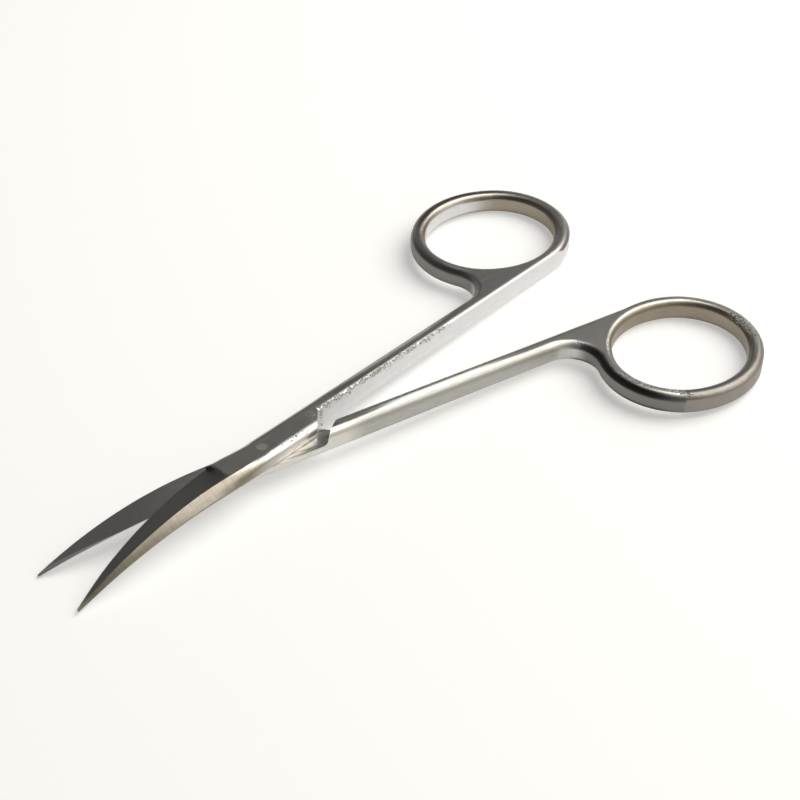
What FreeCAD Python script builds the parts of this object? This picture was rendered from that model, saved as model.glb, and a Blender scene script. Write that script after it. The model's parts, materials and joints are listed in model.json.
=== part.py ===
import FreeCAD, Part
import Sketcher
import math
import os

# Curved fine-point dissecting scissors, all lengths in millimetres.
# Each half is one forging: blade, lap, shank and finger ring. A slotted screw joins them at the lap.
# A half is modelled closed, ring towards -Y, with the pivot axis on Z and its mating face looking up.

SIZES = {
    # reach from the pivot
    "tip_reach": 35.0,
    "ring_center_reach": 66.48,
    "ring_center_offset": 11.94,
    # finger ring
    "hole_length": 22.9,
    "hole_width": 20.15,
    "hole_shift_upper": 0.2,
    "ring_wall": 2.5,
    "ring_turn_lower": 24.0,
    "ring_turn_upper": 0.0,
    "hole_round": 0.95,
    "band_start_reach": 58.5,
    "band_depth": 0.14,
    # shank
    "shank_outer_offset": 2.29,
    "closed_gap_half": 0.03,
    "ring_half_height": 1.72,
    "fall_end_reach": 47.0,
    "side_round": 1.25,
    "crotch_round_lower": 4.3,
    "crotch_round_upper": 4.7,
    # lap
    "lap_thickness": 1.81,
    "lap_width_outer": 2.65,
    "lap_width_spine": 2.6,
    "running_gap": 0.05,
    "shoulder_reach": 12.3,
    "shoulder_slant": 1.15,
    "shoulder_gap": 0.77,
    "shoulder_root_round": 0.6,
    # blade, each run given at the pivot, halfway and at the tip
    "curve_start_reach": 10.0,
    "tip_drop": 5.4,
    "edge_mid": 2.62,
    "edge_tip": 0.3,
    "spine_mid": 1.87,
    "spine_tip": 0.15,
    "thickness_mid": 1.25,
    "thickness_tip": 0.4,
    "bevel_root": 2.0,
    "bevel_tip": 0.15,
    "ridge_share": 0.28,
    "spine_flat": 0.2,
    "spine_bulge": 0.04,
    "corner_ease": 0.06,
    "run_out_reach": 7.37,
    "run_out_radius": 2.5,
    "run_out_offset": 1.1,
    # pivot screw
    "screw_diameter": 1.65,
    "bore_clearance": 0.03,
    "head_diameter": 2.5,
    "head_height": 0.7,
    "slot_width": 0.4,
    "slot_depth": 0.35,
    # pose
    "opening_angle": 15.43,
}

# Stations of the blade as shares of its reach, with the share of the lap's rounded section in each.
BLADE_STATIONS = (
    (0.0, 1.0), (0.1, 0.9), (0.22, 0.25), (0.36, 0.0),
    (0.52, 0.0), (0.7, 0.0), (0.86, 0.0), (1.0, 0.0))
FACET_STATIONS = (0.15, 0.22, 0.36, 0.52, 0.7, 0.86, 1.0, 1.04)

STOCK = 8.0            # how far cutting shapes reach past the metal
SPARE = 1.0            # the same where another face is close behind
LAP_BITE = 0.4         # share of the lap's outer half that the spine block reaches into
NEARLY = 0.9999        # keeps an arc just short of a half circle
OVERRUN = 0.4          # how far the blade blank stands above its mating face before it is ground
SWEEP_ANGLE = 200.0    # sector about the pivot in which the mating face is ground
DIAGONAL = math.cos(math.radians(45.0))
QUARTER_SAGITTA = 1.0 - DIAGONAL      # rise of a quarter arc of radius one
ROOM_SHARE = 0.95      # how much of the free wall a rounding may take
NO_CHANGE = 1e-6       # a feature that moves less volume than this did nothing
NEAR = 0.01            # slack of the tests that pick edges
RIM_SHARE = 1.03       # an edge this near the hole belongs to its rim
MESH_STEP = 0.02       # fineness used to find the resting points


def size(alias):
    """Return the expression that reads one driving dimension."""
    return "sizes." + alias


def make_sheet(doc):
    """Write the driving dimensions into a spreadsheet with aliases."""
    sheet = doc.addObject("Spreadsheet::Sheet", "sizes")
    for row, (alias, value) in enumerate(SIZES.items(), start=1):
        sheet.set("A%d" % row, alias)
        sheet.set("B%d" % row, str(value))
        sheet.setAlias("B%d" % row, alias)
    doc.recompute()
    return sheet


def origin_feature(body, role):
    """Find one of a body's own origin planes or axes."""
    for feature in body.Origin.OriginFeatures:
        if feature.Role == role:
            return feature
    raise ValueError("no origin feature " + role)


def new_sketch(body, name, role, offset=None):
    """Attach a sketch to an origin plane, moved along its normal by an expression."""
    sketch = body.newObject("Sketcher::SketchObject", name)
    sketch.AttachmentSupport = [(origin_feature(body, role), "")]
    sketch.MapMode = "FlatFace"
    if offset is not None:
        sketch.setExpression("AttachmentOffset.Base.z", offset)
    return sketch


def bind(sketch, constraint, expression):
    """Tie one sketch constraint to an expression."""
    sketch.setExpression("Constraints[%d]" % constraint, expression)


def locate(sketch, geometry, vertex, x_text, y_text):
    """Fix a sketch vertex by its two coordinates."""
    for kind, text in (("DistanceX", x_text), ("DistanceY", y_text)):
        value = sketch.evalExpression(text)
        index = sketch.addConstraint(Sketcher.Constraint(kind, -1, 1, geometry, vertex, value))
        bind(sketch, index, text)


def draw_outline(sketch, corners, bends=None):
    """Draw a closed outline of lines, with arcs where bends gives a side its radius and sagitta."""
    bends = bends or {}
    points = [FreeCAD.Vector(sketch.evalExpression(x), sketch.evalExpression(y), 0) for x, y in corners]
    starts = []
    for number, start in enumerate(points):
        end = points[(number + 1) % len(points)]
        if number in bends:
            sagitta = sketch.evalExpression(bends[number][1])
            chord = end - start
            outward = FreeCAD.Vector(chord.y, -chord.x, 0).normalize()
            arc = Part.Arc(start, (start + end) * 0.5 + outward * sagitta, end)
            geometry = sketch.addGeometry(arc, False)
            gaps = [(sketch.getPoint(geometry, vertex) - start).Length for vertex in (1, 2)]
            starts.append((geometry, 1, 2) if gaps[0] < gaps[1] else (geometry, 2, 1))
        else:
            starts.append((sketch.addGeometry(Part.LineSegment(start, end), False), 1, 2))
    for number, (geometry, first, last) in enumerate(starts):
        following, next_first, _ = starts[(number + 1) % len(starts)]
        sketch.addConstraint(Sketcher.Constraint("Coincident", geometry, last, following, next_first))
    for (geometry, first, _), (x_text, y_text) in zip(starts, corners):
        locate(sketch, geometry, first, x_text, y_text)
    for number, (radius_text, _) in bends.items():
        geometry = starts[number][0]
        value = sketch.evalExpression(radius_text)
        bind(sketch, sketch.addConstraint(Sketcher.Constraint("Radius", geometry, value)), radius_text)
    return sketch


def draw_oval(sketch, center, length_text, width_text, turn_text):
    """Draw an oval of four quarter arcs by its centre, length and width, turned from the X axis."""
    half_length, half_width = "(%s) / 2" % length_text, "(%s) / 2" % width_text
    excess = "(%s - %s)" % (half_length, half_width)
    end_radius = "(%s - %.6f * %s)" % (half_length, 1 + DIAGONAL, excess)
    side_radius = "(%s + %.6f * %s)" % (half_length, DIAGONAL, excess)
    end_sagitta = "(%.6f * %s)" % (QUARTER_SAGITTA, end_radius)
    side_sagitta = "(%.6f * %s)" % (QUARTER_SAGITTA, side_radius)
    along = "(%s - %s)" % (half_length, end_sagitta)
    aside = "(%.6f * %s)" % (DIAGONAL, end_radius)
    cosine, sine = "cos(%s * 1 deg)" % turn_text, "sin(%s * 1 deg)" % turn_text
    corners = []
    for ahead, left in ((1, -1), (1, 1), (-1, 1), (-1, -1)):
        x = "%s + (%d) * %s * %s - (%d) * %s * %s" % (center[0], ahead, along, cosine, left, aside, sine)
        y = "%s + (%d) * %s * %s + (%d) * %s * %s" % (center[1], ahead, along, sine, left, aside, cosine)
        corners.append((x, y))
    ends, sides = (end_radius, end_sagitta), (side_radius, side_sagitta)
    return draw_outline(sketch, corners, {0: ends, 1: sides, 2: ends, 3: sides})


def draw_circle(sketch, diameter_text):
    """Draw a circle about the pivot axis."""
    diameter = sketch.evalExpression(diameter_text)
    circle = Part.Circle(FreeCAD.Vector(0, 0, 0), FreeCAD.Vector(0, 0, 1), diameter / 2)
    geometry = sketch.addGeometry(circle, False)
    sketch.addConstraint(Sketcher.Constraint("Coincident", geometry, 3, -1, 1))
    bind(sketch, sketch.addConstraint(Sketcher.Constraint("Diameter", geometry, diameter)), diameter_text)
    return sketch


def extrude(body, kind, name, sketch, length=None, side="One side", reverse=False):
    """Pad or pocket a sketch by an expression, or cut through everything."""
    feature = body.newObject("PartDesign::" + kind, name)
    feature.Profile = sketch
    feature.SideType = side
    feature.Reversed = reverse
    if length is None:
        feature.Type = "ThroughAll"
    else:
        feature.setExpression("Length", length)
    body.Document.recompute()
    return feature


def changed(body, before, name):
    """Stop if a feature left the solid as it was."""
    if abs(body.Shape.Volume - before) < NO_CHANGE:
        raise RuntimeError(name + " changed nothing")


def round_edges(body, name, radius, wanted):
    """Fillet every edge of the body's present shape that the wanted test picks."""
    base = body.Tip
    names = ["Edge%d" % n for n, edge in enumerate(base.Shape.Edges, start=1) if wanted(edge)]
    if not names:
        raise RuntimeError(name + " found no edge")
    fillet = body.newObject("PartDesign::Fillet", name)
    fillet.Base = (base, names)
    fillet.setExpression("Radius", radius)
    body.Document.recompute()
    return fillet


def parabola(root, mid, tip, share):
    """Expression of a run with given values at the pivot, halfway along the blade and at the tip."""
    linear = 4 * share * (1 - share)
    return "(%s*%.6f + %s*%.6f + %s*%.6f)" % (
        root, (1 - share) * (1 - 2 * share), mid, linear, tip, share * (2 * share - 1))


def mating_height(share, bend):
    """Expression of the mating face's height over the lap plane at a share of the blade's reach."""
    run = "(%s - %s)" % (size("tip_reach"), size("curve_start_reach"))
    radius = "((%s^2 + %s^2) / (2 * %s))" % (run, size("tip_drop"), size("tip_drop"))
    past = "max(%s*%.6f - %s; 0)" % (size("tip_reach"), share, size("curve_start_reach"))
    return "(%d * (%s - sqrt(%s^2 - %s^2)))" % (bend, radius, radius, past)


class Section:
    """Expressions of one cross-section of the blade, at a share of its reach."""

    def __init__(self, share, bend):
        self.share = share
        self.mate = mating_height(share, bend)
        self.edge = parabola(size("lap_width_outer"), size("edge_mid"), size("edge_tip"), share)
        self.spine = parabola(size("lap_width_spine"), size("spine_mid"), size("spine_tip"), share)
        self.thickness = parabola(size("lap_thickness"), size("thickness_mid"), size("thickness_tip"), share)
        fall = (1 - share) ** 3
        self.bevel = "(%s*%.6f + %s*%.6f)" % (size("bevel_root"), fall, size("bevel_tip"), 1 - fall)
        self.ridge = "(%s - %s * (%s + %s))" % (self.spine, size("ridge_share"), self.spine, self.edge)
        self.reach = "-%s*%.6f" % (size("tip_reach"), share)


def blade_section(body, number, section, lap_share):
    """Sketch one section of the blade blank: spine side, ridge, flat back and edge side."""
    rest = 1 - lap_share
    lap_ridge = "(%s - %s)" % (size("lap_width_spine"), size("side_round"))
    ridge = "(%s*%.4f + %s*%.4f)" % (lap_ridge, lap_share, section.ridge, rest)
    back = "(%s - %s)" % (section.mate, section.thickness)
    corner = "(%s*%.4f + %s*%.4f)" % (size("side_round"), lap_share, size("corner_ease"), rest)
    side_foot = "(%s + %s)" % (back, size("side_round"))
    plain_foot = "(%s - %s*%s)" % (section.mate, size("spine_flat"), section.thickness)
    foot = "(%s*%.4f + %s*%.4f)" % (side_foot, lap_share, plain_foot, rest)
    bulge = "(%s*%.6f + %s*%.4f)" % (
        size("side_round"), QUARTER_SAGITTA * lap_share, size("spine_bulge"), rest)
    top = "(%s + %.3f)" % (section.mate, OVERRUN)
    half_chord = "(((%s - %s)^2 + (%s - %s)^2) / 4)" % (section.spine, ridge, foot, back)
    spine_radius = "((%s + %s^2) / (2 * %s))" % (half_chord, bulge, bulge)
    corners = [
        ("-" + section.edge, top),
        ("-" + section.edge, "(%s + %s)" % (back, corner)),
        ("-(%s - %s)" % (section.edge, corner), back),
        (ridge, back),
        (section.spine, foot),
        (section.spine, top),
    ]
    corner_sagitta = "(%s*%.6f)" % (corner, QUARTER_SAGITTA)
    sketch = new_sketch(body, "blade_section_%d" % number, "YZ_Plane", section.reach)
    return draw_outline(sketch, corners, {1: (corner, corner_sagitta), 3: (spine_radius, bulge)})


def facet_section(body, number, section):
    """Sketch one section of the metal that grinding takes off between the ridge and the edge bevel."""
    back = "(%s - %s)" % (section.mate, section.thickness)
    slope = "((%s - %s) / (%s + %s))" % (section.thickness, section.bevel, section.ridge, section.edge)
    outer = "-(%s + %.1f)" % (section.edge, SPARE)
    rise = "(%s - %s + %.1f * %s)" % (section.mate, section.bevel, SPARE, slope)
    corners = [
        (section.ridge, back),
        (outer, rise),
        (outer, "(%s - %.1f)" % (back, STOCK / 2)),
        (section.ridge, "(%s - %.1f)" % (back, STOCK / 2)),
    ]
    sketch = new_sketch(body, "facet_section_%d" % number, "YZ_Plane", section.reach)
    return draw_outline(sketch, corners)


def loft(body, name, sketches):
    """Loft smoothly through a row of sections."""
    feature = body.newObject("PartDesign::AdditiveLoft", name)
    feature.Profile = sketches[0]
    feature.Sections = sketches[1:]
    feature.Ruled = False
    body.Document.recompute()
    return feature


def facet_tool(doc, name, bend):
    """Build the grinding cut of the blade's back facet, with its rounded run-out near the lap."""
    body = doc.addObject("PartDesign::Body", name)
    sections = [facet_section(body, n, Section(share, bend)) for n, share in enumerate(FACET_STATIONS)]
    doc.recompute()
    loft(body, "facet", sections)
    front = "-(%s + %s)" % (size("run_out_reach"), size("run_out_radius"))
    low = "-(%s + %s)" % (size("run_out_offset"), size("run_out_radius"))
    high = "(%s - %s)" % (size("run_out_radius"), size("run_out_offset"))
    outline = new_sketch(body, "run_out", "XY_Plane")
    draw_outline(outline, [
        ("0", "-%.1f" % STOCK),
        ("0", "%.1f" % STOCK),
        (front, "%.1f" % STOCK),
        (front, high),
        (front, low),
        (front, "-%.1f" % STOCK),
    ], {3: (size("run_out_radius"), "-%s * %.4f" % (size("run_out_radius"), NEARLY))})
    before = body.Shape.Volume
    extrude(body, "Pocket", "run_out_cut", outline, None, "Symmetric")
    changed(body, before, "run_out_cut")
    return body


def band_tool(doc, name, side):
    """Build the grinding cut that flattens the ring's outside from the band's start round its rear."""
    body = doc.addObject("PartDesign::Body", name)
    center_x = size("ring_center_reach")
    center_y = "-" + size("ring_center_offset")
    far = "(%s + %s)" % (center_x, size("hole_length"))
    low = "-(%s + %s)" % (size("ring_center_offset"), size("hole_width"))
    area = new_sketch(body, "band_area", "XY_Plane")
    draw_outline(area, [
        (size("band_start_reach"), low),
        (far, low),
        (far, "%.1f" % STOCK),
        (center_x, "%.1f" % STOCK),
        (center_x, center_y),
        (size("band_start_reach"), center_y),
    ])
    extrude(body, "Pad", "band_block", area, "4 * " + size("lap_thickness"), "Symmetric")
    keep = new_sketch(body, "band_keep", "XY_Plane")
    keep_length = "%s + 2 * (%s - %s)" % (size("hole_length"), size("ring_wall"), size("band_depth"))
    keep_width = "%s + 2 * (%s - %s)" % (size("hole_width"), size("ring_wall"), size("band_depth"))
    draw_oval(keep, (center_x, center_y), keep_length, keep_width, size("ring_turn_" + side))
    extrude(body, "Pocket", "band_cut", keep, None, "Symmetric")
    return body


def build_shank_and_ring(body, side):
    """Forge the shank and finger ring with their rounded outside, hole and flat inner side."""
    doc = body.Document
    center_x = size("ring_center_reach")
    center_y = "-" + size("ring_center_offset")
    full_height = "2 * " + size("lap_thickness")
    outer_length = "%s + 2 * %s" % (size("hole_length"), size("ring_wall"))
    outer_width = "%s + 2 * %s" % (size("hole_width"), size("ring_wall"))
    turn = size("ring_turn_" + side)
    disc = new_sketch(body, "ring_outline", "XY_Plane")
    draw_oval(disc, (center_x, center_y), outer_length, outer_width, turn)
    extrude(body, "Pad", "ring_disc", disc, full_height, "Symmetric")
    stock_line = "(%s / 2 + %s - %s)" % (size("hole_width"), size("ring_wall"), size("ring_center_offset"))
    outline = new_sketch(body, "shank_outline", "XY_Plane")
    draw_outline(outline, [
        ("0", "-" + size("lap_width_outer")),
        (center_x, "-" + size("shank_outer_offset")),
        (center_x, stock_line),
        ("0", stock_line),
    ])
    extrude(body, "Pad", "shank_stock", outline, full_height, "Symmetric")
    ring_front = doc.sizes.ring_center_reach - doc.sizes.hole_length / 2 - doc.sizes.ring_wall

    def crotch(edge):
        box = edge.BoundBox
        upright = box.ZLength > doc.sizes.lap_thickness and box.XLength < NEAR and box.YLength < NEAR
        on_shank = -doc.sizes.lap_width_outer < box.Center.y < NEAR - doc.sizes.shank_outer_offset
        return upright and on_shank and ring_front < box.Center.x < doc.sizes.ring_center_reach

    round_edges(body, "crotch", size("crotch_round_" + side), crotch)
    wedges = new_sketch(body, "height_fall", "XZ_Plane")
    far = "(%s + %s)" % (center_x, size("hole_length"))
    lap, level, fall_end = size("lap_thickness"), size("ring_half_height"), size("fall_end_reach")
    above = "(%s + %.1f)" % (lap, STOCK)
    draw_outline(wedges, [("0", lap), (fall_end, level), (far, level), (far, above), ("0", above)])
    draw_outline(wedges, [
        ("0", "-" + lap), ("0", "-" + above), (far, "-" + above),
        (far, "-" + level), (fall_end, "-" + level)])
    before = body.Shape.Volume
    extrude(body, "Pocket", "height_cut", wedges, None, "Symmetric")
    changed(body, before, "height_cut")

    def shank_rim(edge):
        box = edge.BoundBox
        level = box.ZLength < doc.sizes.ring_half_height
        return level and abs(box.Center.z) > doc.sizes.ring_half_height / 2 and box.XLength > NEAR

    round_edges(body, "outside_round", size("side_round"), shank_rim)
    hole = new_sketch(body, "ring_hole", "XY_Plane")
    hole_x = center_x
    if side == "upper":
        hole_x = "%s - %s" % (center_x, size("hole_shift_upper"))
    draw_oval(hole, (hole_x, center_y), size("hole_length"), size("hole_width"), turn)
    extrude(body, "Pocket", "hole_cut", hole, None, "Symmetric")

    middle = FreeCAD.Vector(hole.evalExpression(hole_x), -doc.sizes.ring_center_offset, 0)
    upright_turn = turned_about(FreeCAD.Vector(0, 0, 1), -hole.evalExpression(turn))

    def hole_rim(edge):
        halfway = edge.valueAt((edge.FirstParameter + edge.LastParameter) / 2)
        own = upright_turn.multVec(halfway - middle)
        share = math.hypot(2 * own.x / doc.sizes.hole_length, 2 * own.y / doc.sizes.hole_width)
        return share < RIM_SHARE and edge.BoundBox.ZLength < NEAR

    room = "(%s - %s - %s)" % (size("ring_wall"), size("hole_shift_upper"), size("side_round"))
    rounding = "min(%s; %.2f * %s)" % (size("hole_round"), ROOM_SHARE, room)
    round_edges(body, "hole_rounding", rounding, hole_rim)
    inner = new_sketch(body, "inner_flat", "XY_Plane")
    draw_outline(inner, [
        ("-%.1f" % SPARE, "-" + size("closed_gap_half")),
        (far, "-" + size("closed_gap_half")),
        (far, "%.1f" % STOCK),
        ("-%.1f" % SPARE, "%.1f" % STOCK),
    ])
    before = body.Shape.Volume
    extrude(body, "Pocket", "inner_cut", inner, None, "Symmetric")
    changed(body, before, "inner_cut")


def build_lap(body):
    """Add the spine side of the lap, mill the recess for the other half and round the recess's root."""
    doc = body.Document
    floor = "-(%s / 2)" % size("running_gap")
    lap_end = "(%s + 2 * %s * %s - %s)" % (
        size("shoulder_reach"), size("closed_gap_half"), size("shoulder_slant"), size("shoulder_gap"))
    lap_start = "(%s - (%s + %s) * %s)" % (
        lap_end, size("lap_width_spine"), size("closed_gap_half"), size("shoulder_slant"))
    fall = "((%s - %s) / %s)" % (size("lap_thickness"), size("ring_half_height"), size("fall_end_reach"))
    bottom_end = "-(%s - %s * %s)" % (size("lap_thickness"), fall, lap_end)
    side = new_sketch(body, "lap_side", "XZ_Plane", "-" + size("lap_width_spine"))
    draw_outline(side, [
        ("0", "-" + size("lap_thickness")), (lap_end, bottom_end), (lap_end, floor), ("0", floor)])
    depth = "%s + %s * %.1f" % (size("lap_width_spine"), size("lap_width_outer"), LAP_BITE)
    before = body.Shape.Volume
    extrude(body, "Pad", "lap_block", side, depth, "One side", False)
    changed(body, before, "lap_block")
    corner = new_sketch(body, "lap_end", "XY_Plane")
    behind, beside = "(%s + %.1f)" % (lap_end, SPARE), "(%s + %.1f)" % (size("lap_width_spine"), SPARE)
    draw_outline(corner, [
        (lap_start, size("lap_width_spine")),
        (lap_end, "-" + size("closed_gap_half")),
        (behind, "-" + size("closed_gap_half")),
        (behind, beside),
        (lap_start, beside),
    ])
    before = body.Shape.Volume
    extrude(body, "Pocket", "lap_end_cut", corner, None, "Symmetric")
    changed(body, before, "lap_end_cut")

    def lap_rim(edge):
        box = edge.BoundBox
        on_side = box.YLength < NEAR and abs(box.Center.y - doc.sizes.lap_width_spine) < NEAR
        low = box.Center.z < -doc.sizes.lap_thickness / 2
        return on_side and low and box.XLength > doc.sizes.lap_width_spine

    round_edges(body, "lap_round", size("side_round"), lap_rim)
    recess = new_sketch(body, "recess", "XY_Plane", floor)
    outside = "(%s + %.1f)" % (size("lap_width_outer"), SPARE)
    slant_out = "(%s - (%s - %s) * %s)" % (
        size("shoulder_reach"), outside, size("closed_gap_half"), size("shoulder_slant"))
    slant_in = "(%s + (%.1f + %s) * %s)" % (
        size("shoulder_reach"), SPARE, size("closed_gap_half"), size("shoulder_slant"))
    draw_outline(recess, [
        ("-%.1f" % SPARE, "-" + outside),
        (slant_out, "-" + outside),
        (slant_in, "%.1f" % SPARE),
        ("-%.1f" % SPARE, "%.1f" % SPARE),
    ])
    before = body.Shape.Volume
    extrude(body, "Pocket", "recess_cut", recess, "2 * " + size("lap_thickness"), "One side", True)
    changed(body, before, "recess_cut")

    def recess_root(edge):
        box = edge.BoundBox
        level = box.ZLength < NEAR and abs(box.Center.z + doc.sizes.running_gap / 2) < NEAR
        slanted = min(box.XLength, box.YLength) > doc.sizes.lap_width_outer / 2
        return level and slanted and 0 < box.XMin and box.YMax < NEAR

    round_edges(body, "recess_root", size("shoulder_root_round"), recess_root)


def build_blade(body, bend):
    """Loft the curved blade, grind its mating face about the pivot and its back facet."""
    doc = body.Document
    sections = []
    for number, (share, lap_share) in enumerate(BLADE_STATIONS):
        sections.append(blade_section(body, number, Section(share, bend), lap_share))
    doc.recompute()
    loft(body, "blade", sections)
    run = "(%s - %s)" % (size("tip_reach"), size("curve_start_reach"))
    radius = "((%s^2 + %s^2) / (2 * %s))" % (run, size("tip_drop"), size("tip_drop"))
    past = "(%s + %.1f)" % (run, SPARE)
    end_height = "(%d * (%s - sqrt(%s^2 - %s^2)) - %s / 2)" % (
        bend, radius, radius, past, size("running_gap"))
    floor = "-(%s / 2)" % size("running_gap")
    sagitta = "(%d * (%s - sqrt(%s^2 - (%s/2)^2 - (%s/2)^2)))" % (
        -bend, radius, radius, past, "(%s + %s / 2)" % (end_height, size("running_gap")))
    above = "(%s + %.1f)" % (size("tip_drop"), STOCK)
    beyond_tip = "-(%s + %.1f)" % (size("tip_reach"), SPARE)
    profile = new_sketch(body, "mating_profile", "XZ_Plane")
    draw_outline(profile, [
        ("0", floor),
        ("-" + size("curve_start_reach"), floor),
        (beyond_tip, end_height),
        (beyond_tip, above),
        ("0", above),
    ], {1: (radius, sagitta)})
    groove = body.newObject("PartDesign::Groove", "mating_face")
    groove.Profile = profile
    groove.ReferenceAxis = (profile, ["V_Axis"])
    groove.Angle = SWEEP_ANGLE
    groove.Midplane = True
    before = body.Shape.Volume
    doc.recompute()
    changed(body, before, "mating_face")


def subtract(body, name, tool):
    """Take one tool body away from a half."""
    cut = body.newObject("PartDesign::Boolean", name)
    cut.setObjects([tool])
    cut.Type = "Cut"
    before = body.Shape.Volume
    body.Document.recompute()
    changed(body, before, name)


def build_half(doc, side, bend):
    """Build one half of the scissors; bend is the way its own frame sees the blade curve."""
    label = side + "_half"
    holds_head = side == "lower"
    body = doc.addObject("PartDesign::Body", label)
    body.Label = label
    build_shank_and_ring(body, side)
    build_lap(body)
    build_blade(body, bend)
    subtract(body, "back_facet", facet_tool(doc, label + "_facet_tool", bend))
    subtract(body, "ring_band", band_tool(doc, label + "_band_tool", side))
    bore_text = size("screw_diameter")
    if holds_head:
        bore_text = "%s + 2 * %s" % (bore_text, size("bore_clearance"))
    bore = draw_circle(new_sketch(body, "pivot_bore", "XY_Plane"), bore_text)
    extrude(body, "Pocket", "bore_cut", bore, None, "Symmetric")
    if holds_head:
        seat = draw_circle(new_sketch(body, "head_seat", "XY_Plane", "-" + size("lap_thickness")),
                           "%s + 2 * %s" % (size("head_diameter"), size("bore_clearance")))
        before = body.Shape.Volume
        depth = "%s + %s" % (size("head_height"), size("bore_clearance"))
        extrude(body, "Pocket", "seat_cut", seat, depth, "One side", True)
        changed(body, before, "seat_cut")
    return body


def build_screw(doc, label):
    """Turn the pivot screw: slotted head in the lower half, end ground flush with the upper half."""
    body = doc.addObject("PartDesign::Body", label)
    body.Label = label
    profile = new_sketch(body, "screw_profile", "XZ_Plane")
    bottom = "-" + size("lap_thickness")
    under_head = "-(%s - %s)" % (size("lap_thickness"), size("head_height"))
    radius, head_radius = "(%s / 2)" % size("screw_diameter"), "(%s / 2)" % size("head_diameter")
    draw_outline(profile, [
        ("0", bottom), (head_radius, bottom), (head_radius, under_head),
        (radius, under_head), (radius, size("lap_thickness")), ("0", size("lap_thickness"))])
    turned = body.newObject("PartDesign::Revolution", "turned")
    turned.Profile = profile
    turned.ReferenceAxis = (profile, ["V_Axis"])
    turned.Angle = 360.0
    doc.recompute()
    slot = new_sketch(body, "slot", "XY_Plane", bottom)
    half_width = "(%s / 2)" % size("slot_width")
    draw_outline(slot, [
        ("-" + head_radius, "-" + half_width), (head_radius, "-" + half_width),
        (head_radius, half_width), ("-" + head_radius, half_width)])
    before = body.Shape.Volume
    extrude(body, "Pocket", "slot_cut", slot, size("slot_depth"), "One side", True)
    changed(body, before, "slot_cut")
    return body


def turned_about(axis, degrees):
    """Placement that turns about an axis through the pivot."""
    return FreeCAD.Placement(FreeCAD.Vector(0, 0, 0), FreeCAD.Rotation(axis, degrees))


def resting_placement(shapes):
    """Find the tilt at which blade tips and rings lie on the table, centred over the origin."""
    points = []
    for shape in shapes:
        points.extend(shape.tessellate(MESH_STEP)[0])
    tilt = 0.0
    for _ in range(5):
        turn = turned_about(FreeCAD.Vector(0, 1, 0), tilt)
        moved = [turn.multVec(point) for point in points]
        front = min((p for p in moved if p.x < 0), key=lambda p: p.z)
        rear = min((p for p in moved if p.x > 0), key=lambda p: p.z)
        tilt += math.degrees(math.atan2(rear.z - front.z, rear.x - front.x))
    turn = turned_about(FreeCAD.Vector(0, 1, 0), tilt)
    moved = [turn.multVec(point) for point in points]
    middle_x = (min(p.x for p in moved) + max(p.x for p in moved)) / 2
    middle_y = (min(p.y for p in moved) + max(p.y for p in moved)) / 2
    shift = FreeCAD.Vector(-middle_x, -middle_y, -min(p.z for p in moved))
    return FreeCAD.Placement(shift, turn.Rotation), tilt


def check(doc, parts):
    """Stop if any feature failed or any piece is not one valid solid."""
    for thing in doc.Objects:
        if {"Invalid", "Error"} & set(thing.State):
            raise RuntimeError("%s is in state %s" % (thing.Name, thing.State))
    for part in parts:
        shape = part.Shape
        if shape.isNull() or not shape.isValid() or len(shape.Solids) != 1:
            raise RuntimeError("%s has a bad shape with %d solids" % (part.Label, len(shape.Solids)))


def main():
    """Build the scissors as they lie in use, opened a little, and write one STEP file for each piece."""
    doc = FreeCAD.newDocument("dissecting_scissors")
    sheet = make_sheet(doc)
    lower = build_half(doc, "lower", -1)
    upper = build_half(doc, "upper", 1)
    screw = build_screw(doc, "pivot_screw")
    parts = (lower, upper, screw)
    check(doc, parts)
    z_axis = FreeCAD.Vector(0, 0, 1)
    half_opening = sheet.opening_angle / 2
    flip = turned_about(FreeCAD.Vector(1, 0, 0), 180)
    poses = {
        lower: turned_about(z_axis, -half_opening),
        upper: turned_about(z_axis, half_opening).multiply(flip),
        screw: turned_about(z_axis, half_opening),
    }
    for part, pose in poses.items():
        part.Placement = pose
    rest, tilt = resting_placement([part.Shape for part in parts])
    for part, pose in poses.items():
        part.Placement = rest.multiply(pose)
    doc.recompute()
    check(doc, parts)
    os.makedirs("parts", exist_ok=True)
    for part in parts:
        part.Shape.exportStep("parts/%s.step" % part.Label)
        print(part.Label, "volume", round(part.Shape.Volume, 3), "faces", len(part.Shape.Faces))
    print("resting tilt", round(tilt, 4), "pivot", rest.Base, "axis", rest.Rotation.multVec(z_axis))


main()
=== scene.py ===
"""Curved fine-point dissecting scissors, lying a little open on a pale table."""

import json
import logging
import math
from dataclasses import dataclass
from enum import Enum

import bpy
from mathutils import Matrix, Vector

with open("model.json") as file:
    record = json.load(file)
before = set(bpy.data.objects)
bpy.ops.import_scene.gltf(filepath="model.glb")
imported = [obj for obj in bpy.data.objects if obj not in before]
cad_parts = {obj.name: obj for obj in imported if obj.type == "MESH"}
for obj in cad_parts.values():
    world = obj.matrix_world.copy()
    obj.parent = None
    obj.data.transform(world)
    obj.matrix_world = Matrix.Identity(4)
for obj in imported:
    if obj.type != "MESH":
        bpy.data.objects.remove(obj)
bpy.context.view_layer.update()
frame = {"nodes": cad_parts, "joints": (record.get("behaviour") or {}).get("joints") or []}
LOG = logging.getLogger("scissors")

MM = 0.001

Triple = tuple[float, float, float]
Colour = Triple
Plan = tuple[float, float]
Span = tuple[float, float]
Socket = bpy.types.NodeSocket
Value = Socket | float
Tint = tuple[Socket, Colour]


class Side(Enum):
    """Which half of the scissors a piece belongs to."""

    LOWER = "lower"
    UPPER = "upper"


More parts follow.
